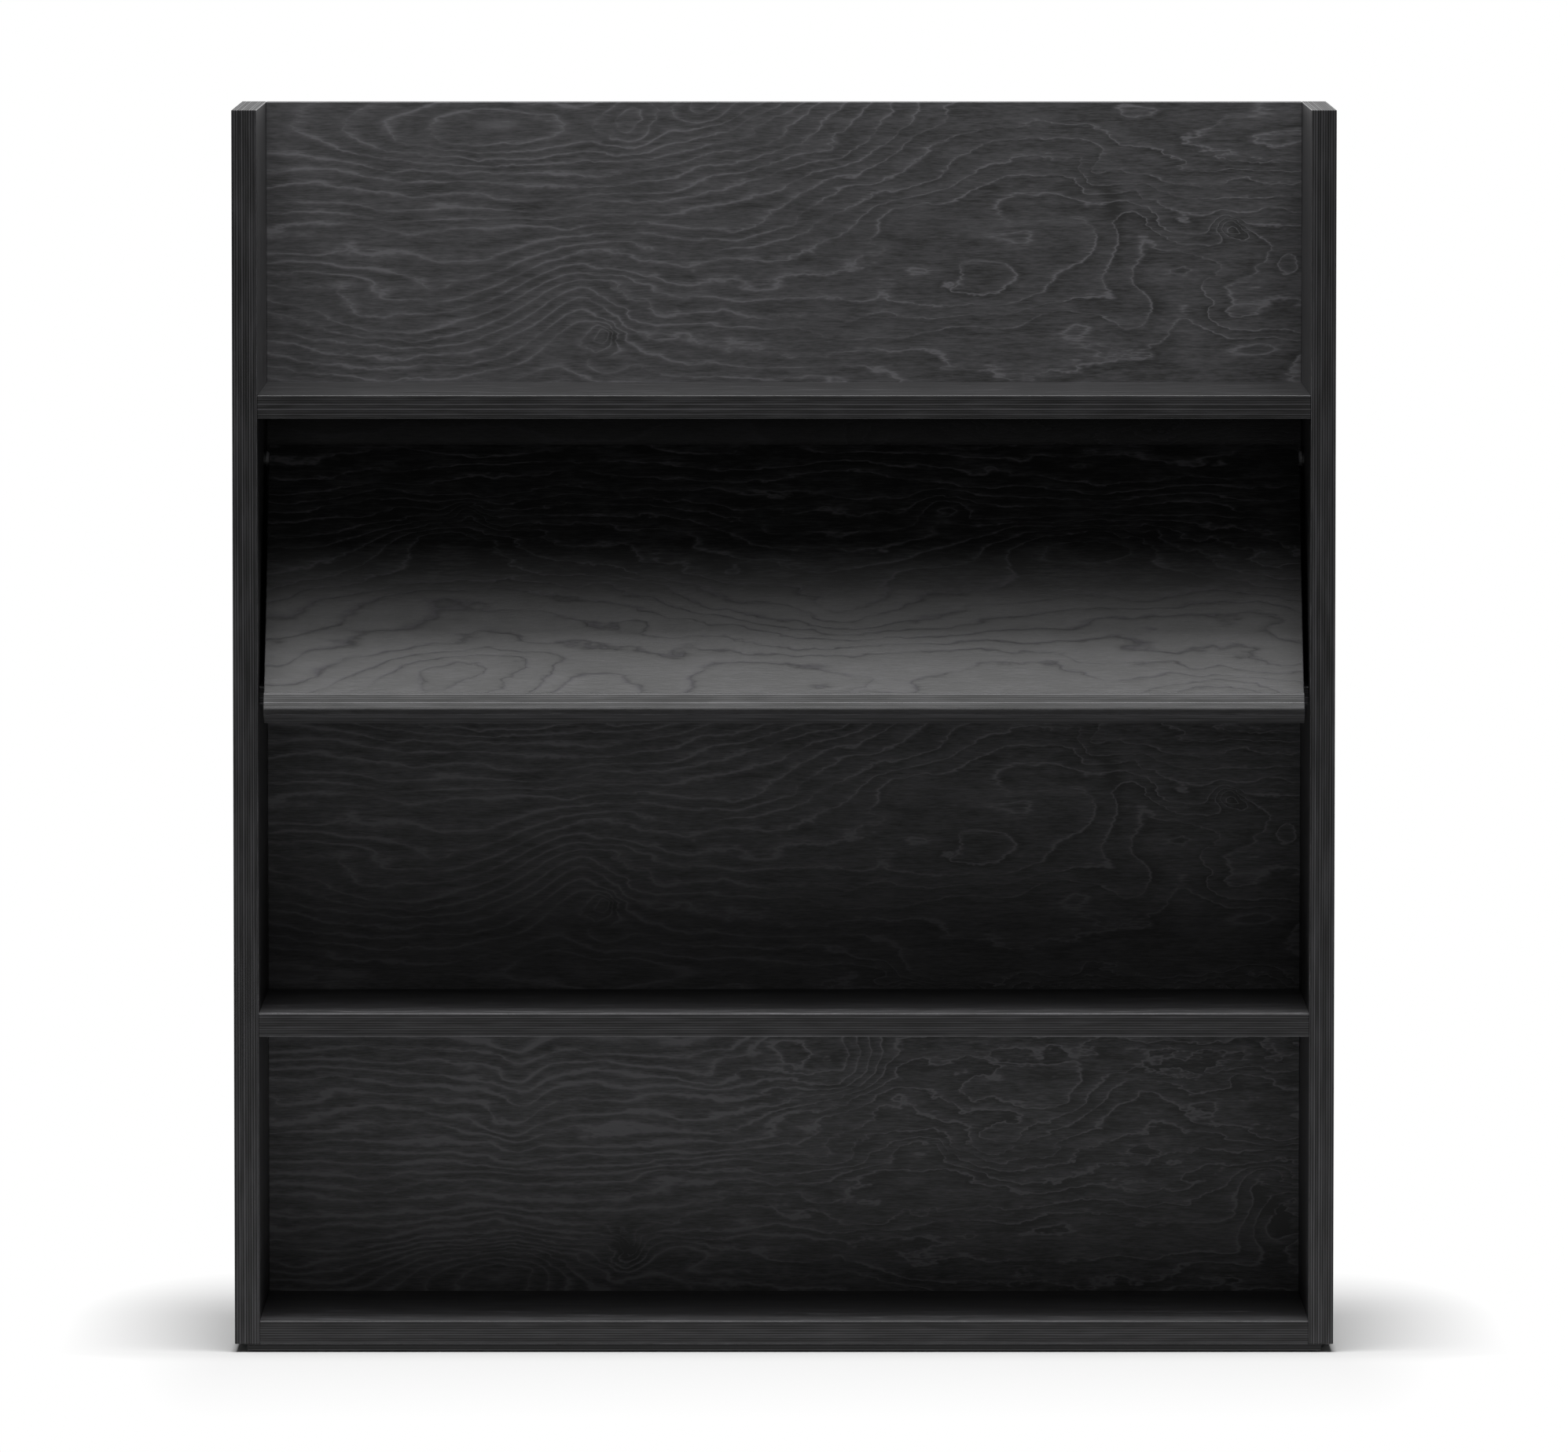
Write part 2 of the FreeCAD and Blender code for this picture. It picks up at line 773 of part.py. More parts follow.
def lip_strip():
    body = new_node("flap_lip")
    outline = new_sketch(body, "YZ_Plane", -half_flap)
    lip_front = -half_flap_thickness - size.lip_proud
    lip_top = size.lip_height - below_pivot
    draw_rectangle(outline, lip_front, -half_flap_thickness, -below_pivot, lip_top)

    def against_the_panel(middle):
        return middle.y > -half_flap_thickness.number - size.edge_round.number

    ease_edges(body, pad(body, outline, half_flap * 2), against_the_panel)
    dowel_holes = new_sketch(body, "XZ_Plane", half_flap_thickness)
    for across in lip_dowel_places:
        draw_circle(dowel_holes, across, lip_dowel_height, size.lip_dowel_radius + size.fit_gap)
    pocket(body, dowel_holes, size.lip_dowel_in_lip + size.hole_end_gap, True)
    place_on_flap(body, zero)


def pivot_pieces(name, side):
    """A pin, its collar and its socket; side is -1 on the left and 1 on the right."""
    tip = size.collar_thickness + size.end_play + size.pin_in_socket
    pin = new_node(f"pivot_pin_{name}")
    turn(pin, "XY_Plane", "H_Axis", [
        (-size.pin_in_flap * side, zero),
        (-size.pin_in_flap * side, size.pin_radius),
        ((tip - size.pin_radius / 4) * side, size.pin_radius),
        (tip * side, size.pin_radius - size.pin_radius / 4),
        (tip * side, zero),
    ])
    place_on_flap(pin, half_flap * side)

    collar = new_node(f"pivot_collar_{name}")
    turn(collar, "XY_Plane", "H_Axis", [
        (zero, size.pin_radius + size.running_gap),
        (zero, size.collar_radius),
        (size.collar_thickness * side, size.collar_radius),
        (size.collar_thickness * side, size.pin_radius + size.running_gap),
    ])
    place_on_flap(collar, half_flap * side)

    socket = new_node(f"pivot_socket_{name}")
    bore_end = socket_bore_depth - size.flange_thickness
    turn(socket, "XY_Plane", "H_Axis", [
        (-size.flange_thickness * side, size.pin_radius + size.running_gap),
        (-size.flange_thickness * side, size.flange_radius),
        (zero, size.flange_radius),
        (zero, size.socket_radius),
        (socket_depth * side, size.socket_radius),
        (socket_depth * side, zero),
        (bore_end * side, zero),
        (bore_end * side, size.pin_radius + size.running_gap),
    ])
    place(socket, half_inner * side, front + pivot_behind_front, feet + pivot_height)


flap_board()
lip_strip()
pivot_pieces("left", -1)
pivot_pieces("right", 1)

lip_dowel = dowel_pattern(
    "lip_dowel_pattern", size.lip_dowel_radius, size.lip_dowel_in_lip, size.lip_dowel_in_panel
)
dowels_backward = about(0, 0, 1, 90)
lip_dowels = []
for across in lip_dowel_places:
    lip_dowels.append(
        copy_of(lip_dowel, across, -half_flap_thickness, lip_dowel_height, dowels_backward)
    )
place_on_flap(group("lip_dowels", lip_dowels), zero)

bumper = disc_pattern("bumper_pattern", size.bumper_radius, size.bumper_thickness)
pads_backward = about(1, 0, 0, 90)
bumper_end = half_flap - size.bumper_inset
flap_bumpers = []
for across in spread(-bumper_end, bumper_end, bumper_count):
    flap_bumpers.append(
        copy_of(
            bumper,
            across,
            half_flap_thickness + size.bumper_thickness,
            size.flap_overhang - below_pivot,
            pads_backward,
        )
    )
place_on_flap(group("flap_bumpers", flap_bumpers), zero)

document.recompute()


# Every object has to be sound before anything is written

for item in document.Objects:
    if "Invalid" in item.State or "Error" in item.State:
        raise RuntimeError(f"{item.Label} failed: {item.State}")
for node in nodes:
    if node.Shape.isNull() or not node.Shape.isValid():
        raise RuntimeError(f"{node.Label} has no sound shape")

os.makedirs("parts", exist_ok=True)
for node in nodes:
    node.Shape.exportStep(os.path.join("parts", f"{node.Label}.step"))
    print(f"{node.Label}: {len(node.Shape.Solids)} solid(s), {node.Shape.Volume / 1000:.1f} cm3")
whole = Part.makeCompound([node.Shape for node in nodes]).BoundBox
print(f"{len(nodes)} nodes, x {whole.XMin:.3f} to {whole.XMax:.3f}, y {whole.YMin:.3f} to "
      f"{whole.YMax:.3f}, z {whole.ZMin:.3f} to {whole.ZMax:.3f}")
print(f"pivot axis at y {(front + pivot_behind_front).number:.3f}, "
      f"z {(feet + pivot_height).number:.3f}")
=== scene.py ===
# %% [markdown]
# # A narrow bookshelf in black-stained birch plywood
#
# The shelf is drawn as solids elsewhere, and arrives here as a fixed model: nine boards, the flap's
# lip, and the dowels, cams, screws and pins that hold them together. This lesson gives it a camera,
# finishes and a studio. We start with the model.

# %% Load the model
import json
import math
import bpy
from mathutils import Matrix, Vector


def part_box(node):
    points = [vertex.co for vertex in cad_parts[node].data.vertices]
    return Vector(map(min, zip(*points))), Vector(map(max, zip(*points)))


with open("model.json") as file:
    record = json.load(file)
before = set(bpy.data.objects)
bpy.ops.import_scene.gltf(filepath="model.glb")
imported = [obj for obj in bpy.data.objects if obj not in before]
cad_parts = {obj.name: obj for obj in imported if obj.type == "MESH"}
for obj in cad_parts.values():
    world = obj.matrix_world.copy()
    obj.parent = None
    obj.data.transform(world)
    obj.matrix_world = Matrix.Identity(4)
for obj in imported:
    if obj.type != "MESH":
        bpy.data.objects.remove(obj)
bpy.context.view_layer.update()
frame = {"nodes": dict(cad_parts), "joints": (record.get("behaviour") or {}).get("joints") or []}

from types import SimpleNamespace

import bmesh
import bpy

# %% [markdown]
# ## Camera
#
# A catalogue picture of furniture is taken from far away with a long lens, so that the sides stay
# upright. Here the eye is 1.52 m above the floor and 12.5 m in front of the boards, and looks down
# by a little over four degrees. A shifted lens could keep the uprights exactly parallel, but the
# shift would stay on when the camera walks round to the sides, so a small tilt is the better way.

# %% Place the camera
carcass_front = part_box("side_panel_left")[0].y
eye_distance = 12.488
eye_height = 1.516
downward_degrees = 4.349
lens_millimetres = 320.1
nearest_seen = 0.5
farthest_seen = 200

camera = bpy.data.objects.new("camera", bpy.data.cameras.new("camera"))
bpy.context.scene.collection.objects.link(camera)
camera.location = (0, carcass_front - eye_distance, eye_height)
camera.rotation_euler = (math.radians(90 - downward_degrees), 0, 0)
camera.data.lens = lens_millimetres
camera.data.clip_start = nearest_seen
camera.data.clip_end = farthest_seen
bpy.context.scene.camera = camera
bpy.context.scene.view_settings.view_transform = "Standard"
print("camera at", [round(value, 3) for value in camera.location])

# %% [markdown]
# ## Shader maths as plain sums
#
# A material is a graph of nodes. Drawing such a graph in code gets long, so one small class wraps a
# socket and lets us write `1 - mask * 0.5`: each operator adds its Math node. The methods below the
# operators add the nodes for which there is no sign.

# %% A socket that can be used in sums
class Socket:
    """An output socket in a graph; arithmetic on it adds Math nodes."""

    def __init__(self, graph, output):
        self.graph = graph
        self.output = output

    def maths(self, operation, *values):
        return self.graph.node("ShaderNodeMath", {"operation": operation}, values)

    def __add__(self, other):
        return self.maths("ADD", self, other)

    def __radd__(self, other):
        return self.maths("ADD", other, self)

    def __sub__(self, other):
        return self.maths("SUBTRACT", self, other)

    def __rsub__(self, other):
        return self.maths("SUBTRACT", other, self)

    def __mul__(self, other):
        return self.maths("MULTIPLY", self, other)

    def __rmul__(self, other):
        return self.maths("MULTIPLY", other, self)

    def __truediv__(self, other):
        return self.maths("DIVIDE", self, other)

    def __pow__(self, other):
        return self.maths("POWER", self, other)

    def __gt__(self, other):
        return self.maths("GREATER_THAN", self, other)

    def fraction(self):
        return self.maths("FRACT", self)

    def whole(self):
        return self.maths("FLOOR", self)

    def size(self):
        return self.maths("ABSOLUTE", self)

    def at_least(self, least):
        return self.maths("MAXIMUM", self, least)

    def at_most(self, most):
        return self.maths("MINIMUM", self, most)

    def softly_at_most(self, most, width):
        """The lesser of the two, rounded off over that width where they meet."""
        return self.maths("SMOOTH_MIN", self, most, width)

    def decay(self):
        """1 at 0, and falling away exponentially above it."""
        return self.maths("POWER", math.e, self * -1)

    def rise(self, low, high, bottom=0.0, top=1.0):
        """Smoothly from bottom to top, as this goes from low to high."""
        ends = {"From Min": low, "From Max": high, "To Min": bottom, "To Max": top}
        settings = {"interpolation_type": "SMOOTHSTEP"}
        return self.graph.node("ShaderNodeMapRange", settings, {"Value": self, **ends})


# %% [markdown]
# ## Graphs
#
# A second class holds a whole graph. Its one method `node` adds any node, with the node's settings
# first and then the values or links of its sockets, so no other line has to know how links are
# made. The room's light has a graph too, and uses the same class.

# %% A graph that nodes are added to
class Graph:
    """The nodes of a material or of the room."""

    def __init__(self, tree):
        self.tree = tree

    def feed(self, socket, value):
        """Links a socket to a varying value, or sets it to a fixed one."""
        if isinstance(value, Socket):
            self.tree.links.new(value.output, socket)
        else:
            socket.default_value = value

    def node(self, kind, settings, sockets, output=0):
        """Adds a node, and gives back its output of that number or name."""
        made = self.tree.nodes.new(kind)
        for setting, value in settings.items():
            setattr(made, setting, value)
        named = sockets.items() if isinstance(sockets, dict) else enumerate(sockets)
        for key, value in named:
            self.feed(made.inputs[key], value)
        return Socket(self, made.outputs[output])

    def outputs(self, kind, *sockets):
        """Adds a node that has no settings, and gives back all its outputs by name."""
        made = self.node(kind, {}, sockets).output.node
        return {output.name: Socket(self, output) for output in made.outputs}


# %% [markdown]
# ## Finishes
#
# A finish is a graph that ends in one shader. Colour, roughness and relief vary over the surface
# and are linked to the shader; what is the same everywhere is set on its socket. All variety comes
# from one kind of soft noise, stretched to the patches of each material, because that noise has no
# seams and needs no picture.

# %% A finish and how it is put on
mix_inputs = (0, 6, 7)  # a Mix node's share and two colours, whose names are not unique
mix_output = 2


class Finish(Graph):
    """A material under construction."""

    def __init__(self, name):
        self.material = bpy.data.materials.new(name)
        self.material.use_nodes = True
        super().__init__(self.material.node_tree)
        self.shader = self.tree.nodes["Principled BSDF"]

    def place(self):
        """A place on the piece, in metres, as the model was drawn."""
        return self.node("ShaderNodeTexCoord", {}, {}, "Object")

    def blend(self, share, *colours):
        """A colour on the way from the first of the two to the second."""
        opaque = [(*tone, 1) if isinstance(tone, tuple) else tone for tone in colours]
        settings = {"data_type": "RGBA", "clamp_factor": True}
        sockets = dict(zip(mix_inputs, [share, *opaque]))
        return self.node("ShaderNodeMix", settings, sockets, mix_output)

    def cloud(self, place, patch, seed, detail, roughness=0.5):
        """Soft noise around 0, in patches of about that many metres along each axis."""
        factors = [1 / length for length in patch]
        start = (seed, seed * 1.7, seed * 2.3)
        settings = {"operation": "MULTIPLY_ADD"}
        stretched = self.node("ShaderNodeVectorMath", settings, [place, factors, start])
        sockets = {"Vector": stretched, "Scale": 1, "Detail": detail, "Roughness": roughness}
        return self.node("ShaderNodeTexNoise", {}, sockets) - 0.5

    def shade(self, colour, roughness, relief, relief_depth, constants={}):
        """Gives the shader its values, and gives back the material."""
        bump = self.node("ShaderNodeBump", {}, {"Height": relief, "Distance": relief_depth})
        values = {"Base Color": colour, "Roughness": roughness, "Normal": bump, **constants}
        for name, value in values.items():
            self.feed(self.shader.inputs[name], value)
        return self.material


def dress(node_names, material):
    """Puts a finish on pieces of the model; their shapes stay as they are."""
    for name in node_names:
        for slot in frame["nodes"][name].material_slots:
            slot.material = material


# %% [markdown]
# ## Plywood, part one: where a place is in its board
#
# Plywood is a stack of thin sheets, so its look depends on which way the stack runs. Each board's
# finish first turns a place on the object into three lengths of its own: along the face's grain,
# across the grain, and through the stack. The flap leans, so its places are turned upright first,
# with a Mapping node that undoes the lean.

# %% Board places
def board_place(finish, board, order, reach=None, lean=0.0, pivot=(0, 0, 0)):
    """A place as lengths along, across and through the board, and its depth on each axis.

    The order names the axes of these lengths. The first two are measured on the object, and the
    third from the middle of the board. A depth is measured from the nearer surface."""
    place = finish.place()
    if lean:
        turned = {"Vector": place, "Location": pivot, "Rotation": (-lean, 0, 0)}
        place = finish.node("ShaderNodeMapping", {"vector_type": "TEXTURE"}, turned)
    lengths = finish.outputs("ShaderNodeSeparateXYZ", place)
    reach = dict(zip("XYZ", reach or zip(*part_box(board))))
    depths = []
    for axis in order:
        low, high = reach[axis]
        depths.append((high - low) / 2 - (lengths[axis] - (low + high) / 2).size())
    along, across, through = [lengths[axis] for axis in order]
    return along, across, through - sum(reach[order[2]]) / 2, depths


# %% [markdown]
# ## Plywood, part two: the figure of a peeled sheet
#
# Birch veneer is peeled off the log like paper off a roll, so the knife cuts the growth rings at a
# very flat angle, and they show as contour lines on a map: long waves where the log was even,
# closed loops where it swelled, and tight curls round a knot. So the finish makes a map of heights:
# a slope that gives the long waves, hills where the loops are, and noise that makes the lines
# wander. The line of a ring lies at each whole number of the height.
#
# The hills are given as rows of where they are along and across, how far they reach both ways, and
# how many rings they rise. Another way is to let noise make every loop, but then no loop sits where
# the eye expects it.

# %% Heights of the growth rings
broad_patch = (0.16, 0.05, 1)
broad_along, broad_across = 0.05, 0.045
crinkle_patch = (0.040, 0.018, 1)
crinkle_along, crinkle_across = 0.022, 0.014


def bell(along, across, length, width):
    """1 in the middle, and falling away over that length and width."""
    return ((along * (1 / length)) ** 2 + (across * (1 / width)) ** 2).decay()


def ring_heights(finish, place, along, across, slope, hills, wander, seed):
    """The ring that each place on the sheet was peeled from, and how many rings a metre holds."""
    broad = finish.cloud(place, broad_patch, seed, 2)
    crinkle = finish.cloud(place, crinkle_patch, seed + 5, 3, 0.6)
    swayed = across + broad * (broad_across * wander) + crinkle * (crinkle_across * wander)
    height, rings_per_metre = slope(along, swayed)
    along = along + broad * broad_along + crinkle * crinkle_along
    across = across + crinkle * crinkle_across
    for hill_along, hill_across, length, width, rings in hills:
        near = bell(along - hill_along, across - hill_across, length, width)
        height = height + near * rings
    return height, rings_per_metre


# %% [markdown]
# ## Plywood, part three: the stained face
#
# Black stain soaks into the soft early wood and less into the dense line of each ring, so the lines
# stay a little paler. Past each line the face is darkest, and it turns paler up to the next one.
# The fibres lie along the grain as fine streaks, and the stain is cloudy. A picture of veneer would
# be quicker, but it could not put the loops where this shelf has them.

# %% Tone of a face
fine_fibre = (0.010, 0.0012, 1)
coarse_fibre = (0.040, 0.0030, 1)
coarse_share = 0.6
stain_patch = (0.050, 0.016, 1)
bold_patch = (0.09, 0.03, 1)
bold_range = (-0.16, 0.16)
faintest_line, boldest_line = 0.25, 1.45
coarse_bend, fine_bend = 0.30, 0.10
line_paleness = 0.75
shadow_fall, shadow_darkness = 5, 0.16
ring_rise = 0.10
cloudiness = 0.75
plain_clouds, vivid_clouds = 0.6, 0.4


def face_tone(finish, place, heights, rings_per_metre, seed, vivid, line_reach):
    """How much paler a stained face is than its ground, its fibres around 0, and its lines."""
    fine = finish.cloud(place, fine_fibre, seed + 11, 2, 0.6)
    coarse = finish.cloud(place, coarse_fibre, seed + 13, 2, 0.6)
    fibre = fine + coarse * coarse_share
    patches = finish.cloud(place, stain_patch, seed + 17, 4, 0.65)
    bold = finish.cloud(place, bold_patch, seed + 23, 3, 0.6)
    strength = bold.rise(*bold_range, faintest_line, boldest_line)
    phase = (heights + coarse * coarse_bend + fine * fine_bend).fraction()
    to_line = 0.5 - (phase - 0.5).size()
    line = (to_line / (rings_per_metre * line_reach)).decay() * strength
    shadow = (phase * shadow_fall).decay() * strength
    figure = line * line_paleness - shadow * shadow_darkness + phase * ring_rise - ring_rise
    clouds = (patches + fibre) * cloudiness
    return figure * vivid + clouds * (plain_clouds + vivid * vivid_clouds), fibre, line


# %% [markdown]
# ## Plywood, part four: the plies on an edge
#
# On its edges a board shows its stack: a pale line every 2.25 mm, which is nine or ten lines in the
# thickness of a shelf. Every second ply is cut across its fibres and drinks more stain, so it is
# darker. No two plies are as pale as each other, and each line breaks into streaks that run along
# the edge. The plies could be modelled one by one, but they are flush, so tone is enough.

# %% Tone of an edge
ply_step = 0.00225
first_ply = 0.37
ply_sway = 0.4
sway_patch = (0.25, 0.25, 0.05)
streak_patch = (0.080, 0.080, 0.0007)
edge_patch = (0.05, 0.05, 0.005)
second_paleness, chance_paleness = 0.14, 0.60
mean_difference = (second_paleness + chance_paleness) / 2
mean_paleness = 0.47
line_core = 0.02
narrowest_line, wider_by_chance = 0.20, 0.20
glue_tone = 0.05
streak_strength, patch_strength = 0.75, 0.7
patch_share = 0.6


def edge_tone(finish, place, through, seed, variety):
    """How pale the plies are on a board's edges, and their streaks around 0."""
    sway = finish.cloud(place, sway_patch, seed + 31, 1)
    ply = through * (1 / ply_step) + first_ply + sway * ply_sway
    settings = {"noise_dimensions": "1D"}
    chance = finish.node("ShaderNodeTexWhiteNoise", settings, {"W": ply.whole() + seed})
    second = ((ply.whole() * 0.5).fraction() > 0.25) * second_paleness
    streak = finish.cloud(place, streak_patch, seed + 37, 3, 0.7)
    patch = finish.cloud(place, edge_patch, seed + 41, 3)
    line_width = narrowest_line + chance * wider_by_chance
    pale = (ply.fraction() - 0.5).size().rise(line_core, line_width, 1, 0)
    strength = mean_paleness + (second + chance * chance_paleness - mean_difference) * variety
    tone = glue_tone + pale * strength + streak * streak_strength + patch * patch_strength
    return tone, streak + patch * patch_share


# %% [markdown]
# ## Plywood, part five: one finish for each board
#
# The parts come together here. A place near either surface of the stack is face, and the rest is
# edge. Where the two meet, a narrow band along the corner is painted paler, a painted highlight on
# the arris, and it is also made smoother. The surface is satin: the fibres make its roughness and
# its relief uneven. Each board has its own seed, so that no two are alike, its own slope and hills,
# and its own changes to the common look.

# %% The common look of the boards
face_tones = ((0.022, 0.0222, 0.0222), (0.097, 0.0955, 0.101))
edge_tones = ((0.012, 0.012, 0.012), (0.125, 0.123, 0.132))
face_ply = 0.0009
all_face = 0.8 * face_ply
# A band this wide along the corner of face and edge is painted paler, a painted highlight, and made
# smoother
arris_width = 0.0011
painted_highlight_paleness, arris_smoothness = 0.4, 0.16
edge_roughness = 0.62
fibre_roughness, streak_roughness = 0.15, 0.4
relief_depth = 0.00005
line_relief = 0.5
knot_lean = 0.5

common_look = {
    "tones": face_tones,  # the darkest and the palest tone of the face
    # The boards' own values of this share also paint light and shade: paler or darker for how light
    # falls
    "face_share": 0.75,  # how much of these tones the stain leaves
    "edge_share": 0.85,  # the same for the tones of the edge
    "ground": 0.37,  # where the plain face lies between its two tones
    "vivid": 1.0,  # how bold its figure is
    "line_reach": 0.0015,  # over how many metres a ring's line fades
    "satin": 0.41,  # the roughness of the face
    "line_roughness": 0.14,  # what a ring's line adds to it
    "ply_gloss": 0.30,  # what a pale ply takes off the roughness of the edge
    "ply_variety": 1.0,  # how much the plies differ from each other
    "gloss_ior": 1.42,  # how strongly the surface mirrors
}


# %% [markdown]
# ## Plywood, part six: building a board's finish
#
# One function makes every board, so that a change to the wood reaches all of them at once. The
# figure may be bolder, and wander more, in one part of a board than in another, so either can be
# given as a function of the place.

# %% Build a board's finish
def scaled_tones(tones, share):
    """The same two tones scaled by a share: more stain or less, and on some boards painted light or
    shade.
    """
    return [tuple(value * share for value in tone) for tone in tones]


def even_slope(spacing):
    """Rings that run along the board, that far apart."""
    return lambda along, across: (across * (-1 / spacing), 1 / spacing)


def plywood(board, order, slope, hills, wander, seed, sheet=None, knots=(), turned={}, **changes):
    """Builds the finish of a board and puts it on."""
    look = SimpleNamespace(**{**common_look, **changes})
    finish = Finish(f"plywood_{board}")
    along, across, through, depths = board_place(finish, board, order, **turned)
    vivid, wander = [value(along, across) if callable(value) else value
                     for value in (look.vivid, wander)]
    if sheet:
        across = sheet(across)
    place = finish.node("ShaderNodeCombineXYZ", {}, [along, across, through])
    rings = ring_heights(finish, place, along, across, slope, hills, wander, seed)
    face, fibre, line = face_tone(finish, place, *rings, seed, vivid, look.line_reach)
    face = face + look.ground
    for knot_along, knot_across, length, width, depth in knots:
        beside = along - knot_along
        above = across - knot_across + beside * knot_lean
        face = face - bell(beside, above, length, width) * depth
    edge, streak = edge_tone(finish, place, through, seed, look.ply_variety)

    is_face = depths[2].rise(all_face, face_ply, 1, 0)
    to_side = depths[0].at_most(depths[1])
    # The band along the corner where face and edge meet: its paleness below is a painted highlight
    arris_highlight = depths[2].rise(0, arris_width, 1, 0) * to_side.rise(0, arris_width, 1, 0)
    face_colour = finish.blend(face + arris_highlight * painted_highlight_paleness, *scaled_tones(look.tones, look.face_share))
    edge_colour = finish.blend(edge + arris_highlight * painted_highlight_paleness, *scaled_tones(edge_tones, look.edge_share))
    on_face = look.satin + fibre * fibre_roughness + line * look.line_roughness
    on_edge = edge_roughness + streak * streak_roughness - edge * look.ply_gloss
    roughness = on_edge + is_face * (on_face - on_edge) - arris_highlight * arris_smoothness
    relief = is_face * fibre + (1 - is_face) * (streak + edge * line_relief)
    colour = finish.blend(is_face, edge_colour, face_colour)
    dress([board], finish.shade(colour, roughness, relief, relief_depth, {"IOR": look.gloss_ior}))
    print(finish.material.name, "has", len(finish.tree.nodes), "nodes")


# %% [markdown]
# ## The back panel
#
# The back is the largest face. Its figure comes twice, one above the other, because the sheets came
# off the log one after another and were joined edge to edge: the joint is 600 mm above the floor,
# in the dark behind the flap, and 522 mm is the width of a sheet. So the upper part of a sheet
# shows above the top shelf and again below the flap, and the lower part only in the lowest
# compartment.
#
# The rings crowd on the left and open out to the right. In the upper part of a sheet they open like
# a fan around the line where it is 400 mm high, up to a level part on top; in the lower part they
# open around the line at 70 mm. The slope could be drawn by noise alone, but the fan is what makes
# the long waves lean the right way.

# %% The slope of the back's rings
sheet_width = 0.522
sheet_joint = 0.600
fan_centre = 0.400
fan_foot = 0.300
low_centre = 0.07
turn_width = 0.06
even_rings = 62
fan_opens, fan_rings = (-0.14, 0.20), (82, 30)
low_fan_opens, low_fan_rings = (-0.10, 0.16), (96, 36)
level_rises, level_heights = (-0.12, 0.02), (0.545, 0.80)
even_until, fan_from = 0.08, 0.34
low_part_ends = (0.255, 0.335)


def back_slope(along, across):
    """Rings that open out to the right, like a fan, in each part of a sheet."""
    lower = across.softly_at_most(fan_foot, turn_width)
    level_above = along.rise(*level_rises, *level_heights)
    upper = across.softly_at_most(level_above, turn_width) - lower
    fan = along.rise(*fan_opens, *fan_rings)
    low_fan = along.rise(*low_fan_opens, *low_fan_rings)
    above = across.rise(*low_part_ends)
    centre_rings = even_rings + across.rise(even_until, fan_from) * (fan - even_rings)
    height = centre_rings * (fan_centre - fan_foot)
    height = height + (low_centre - lower) * (low_fan - even_rings) * (1 - above)
    return height - upper * fan - lower * even_rings, low_fan + above * (fan - low_fan)


def stacked_sheets(height):
    """The height within a sheet, at a height above the floor."""
    return height - (height > sheet_joint) * sheet_width


# %% [markdown]
# The hills are the loops, the arch and the knots that the eye finds first in the photo. They stand
# at the same place in both sheets, so each row below is seen once or twice. The knots are small
# dark spots, for which the rows give how far they reach both ways and how dark they are.

# %% The hills and knots of the back
back_hills = [
    # In the upper part of a sheet: ovals at the left, loops in the middle, knots at the right
    (-0.263, 0.5735, 0.125, 0.034, -4.6),
    (-0.140, 0.582, 0.030, 0.036, -3.0),
    (-0.083, 0.590, 0.040, 0.016, -1.6),
    (0.005, 0.585, 0.110, 0.050, -0.8),
    (0.240, 0.513, 0.080, 0.042, 2.4),
    (0.290, 0.535, 0.016, 0.018, -1.0),
    (0.318, 0.486, 0.026, 0.022, 1.9),
    (0.4075, 0.4813, 0.012, 0.011, 3.2),
    (0.450, 0.560, 0.120, 0.030, -3.0),
    (0.440, 0.470, 0.060, 0.040, 1.3),
    (0.456, 0.450, 0.016, 0.016, -1.4),
    (0.365, 0.400, 0.030, 0.030, 1.6),
    (0.430, 0.372, 0.050, 0.014, 1.5),
    (-0.182, 0.400, 0.050, 0.070, 3.2),
    (-0.330, 0.400, 0.075, 0.070, -2.2),
    (-0.164, 0.384, 0.014, 0.012, 2.4),
    (-0.171, 0.352, 0.032, 0.020, -2.4),
    (0.260, 0.395, 0.040, 0.018, 1.4),
    (0.345, 0.445, 0.050, 0.026, 2.4),
    (0.185, 0.435, 0.045, 0.024, -1.8),
    (0.110, 0.490, 0.050, 0.020, 1.3),
    (0.255, 0.470, 0.030, 0.020, -1.2),
    # In the lower part: ovals at the left, a knot in the middle, a dark knot at the right
    (-0.268, 0.050, 0.095, 0.030, 5.2),
    (-0.143, 0.067, 0.012, 0.020, -3.0),
    (-0.090, 0.068, 0.032, 0.015, 2.0),
    (-0.120, 0.137, 0.020, 0.009, 1.4),
    (-0.243, 0.205, 0.022, 0.060, -1.6),
    (0.048, 0.241, 0.040, 0.042, -3.4),
    (0.127, 0.157, 0.030, 0.009, 1.4),
    (0.230, 0.190, 0.100, 0.060, -2.4),
    (0.330, 0.215, 0.060, 0.030, 2.4),
    (0.4555, 0.094, 0.030, 0.034, 3.6),
    (0.430, 0.130, 0.018, 0.012, 1.6),
]
back_knots = [
    (-0.144, 0.067, 0.010, 0.010, 0.8),
    (0.4555, 0.094, 0.007, 0.012, 0.9),
    (0.440, 0.110, 0.014, 0.008, 0.3),
    (0.048, 0.241, 0.006, 0.006, 0.3),
    (0.415, 0.480, 0.006, 0.010, 0.4),
    (-0.157, 0.384, 0.006, 0.006, 0.3),
    (0.300, 0.500, 0.010, 0.018, 0.3),
]
